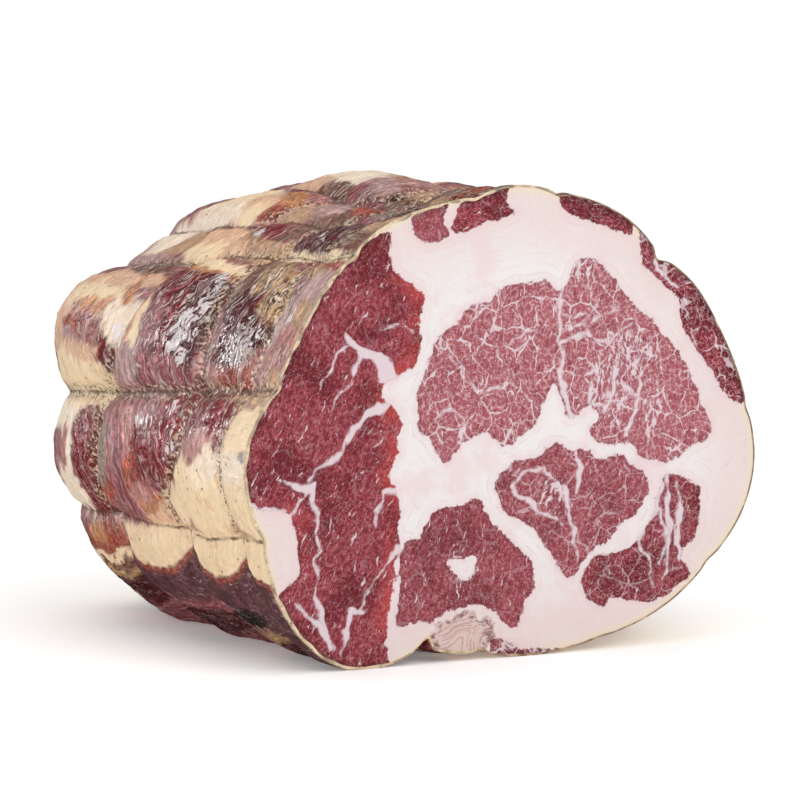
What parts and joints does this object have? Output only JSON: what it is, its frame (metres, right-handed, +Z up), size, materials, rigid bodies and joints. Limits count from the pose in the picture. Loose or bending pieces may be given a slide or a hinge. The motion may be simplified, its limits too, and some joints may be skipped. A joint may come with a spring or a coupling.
{
  "type": "cured pork collar",
  "caption": "Cut half of a rolled and tied cured pork collar, with a flat marbled cut face and a lobed, rounded closed end.",
  "frame": {"origin": "middle of the underside of the part's bounding box, on the surface it rests on", "axes": "+Y along the meat, from the flat cut face towards the closed rounded end; +Z up; +X to the right when the cut face is looked at"},
  "size_m": [0.128, 0.1334, 0.1014],
  "materials": {
    "cured_meat": "cured meat in a thin, dried natural casing, satin with glossy patches; the cut face moist, deep red with white fat"
  },
  "bodies": {
    "root": {"cured_collar": "cured_meat"}
  },
  "joints": []
}
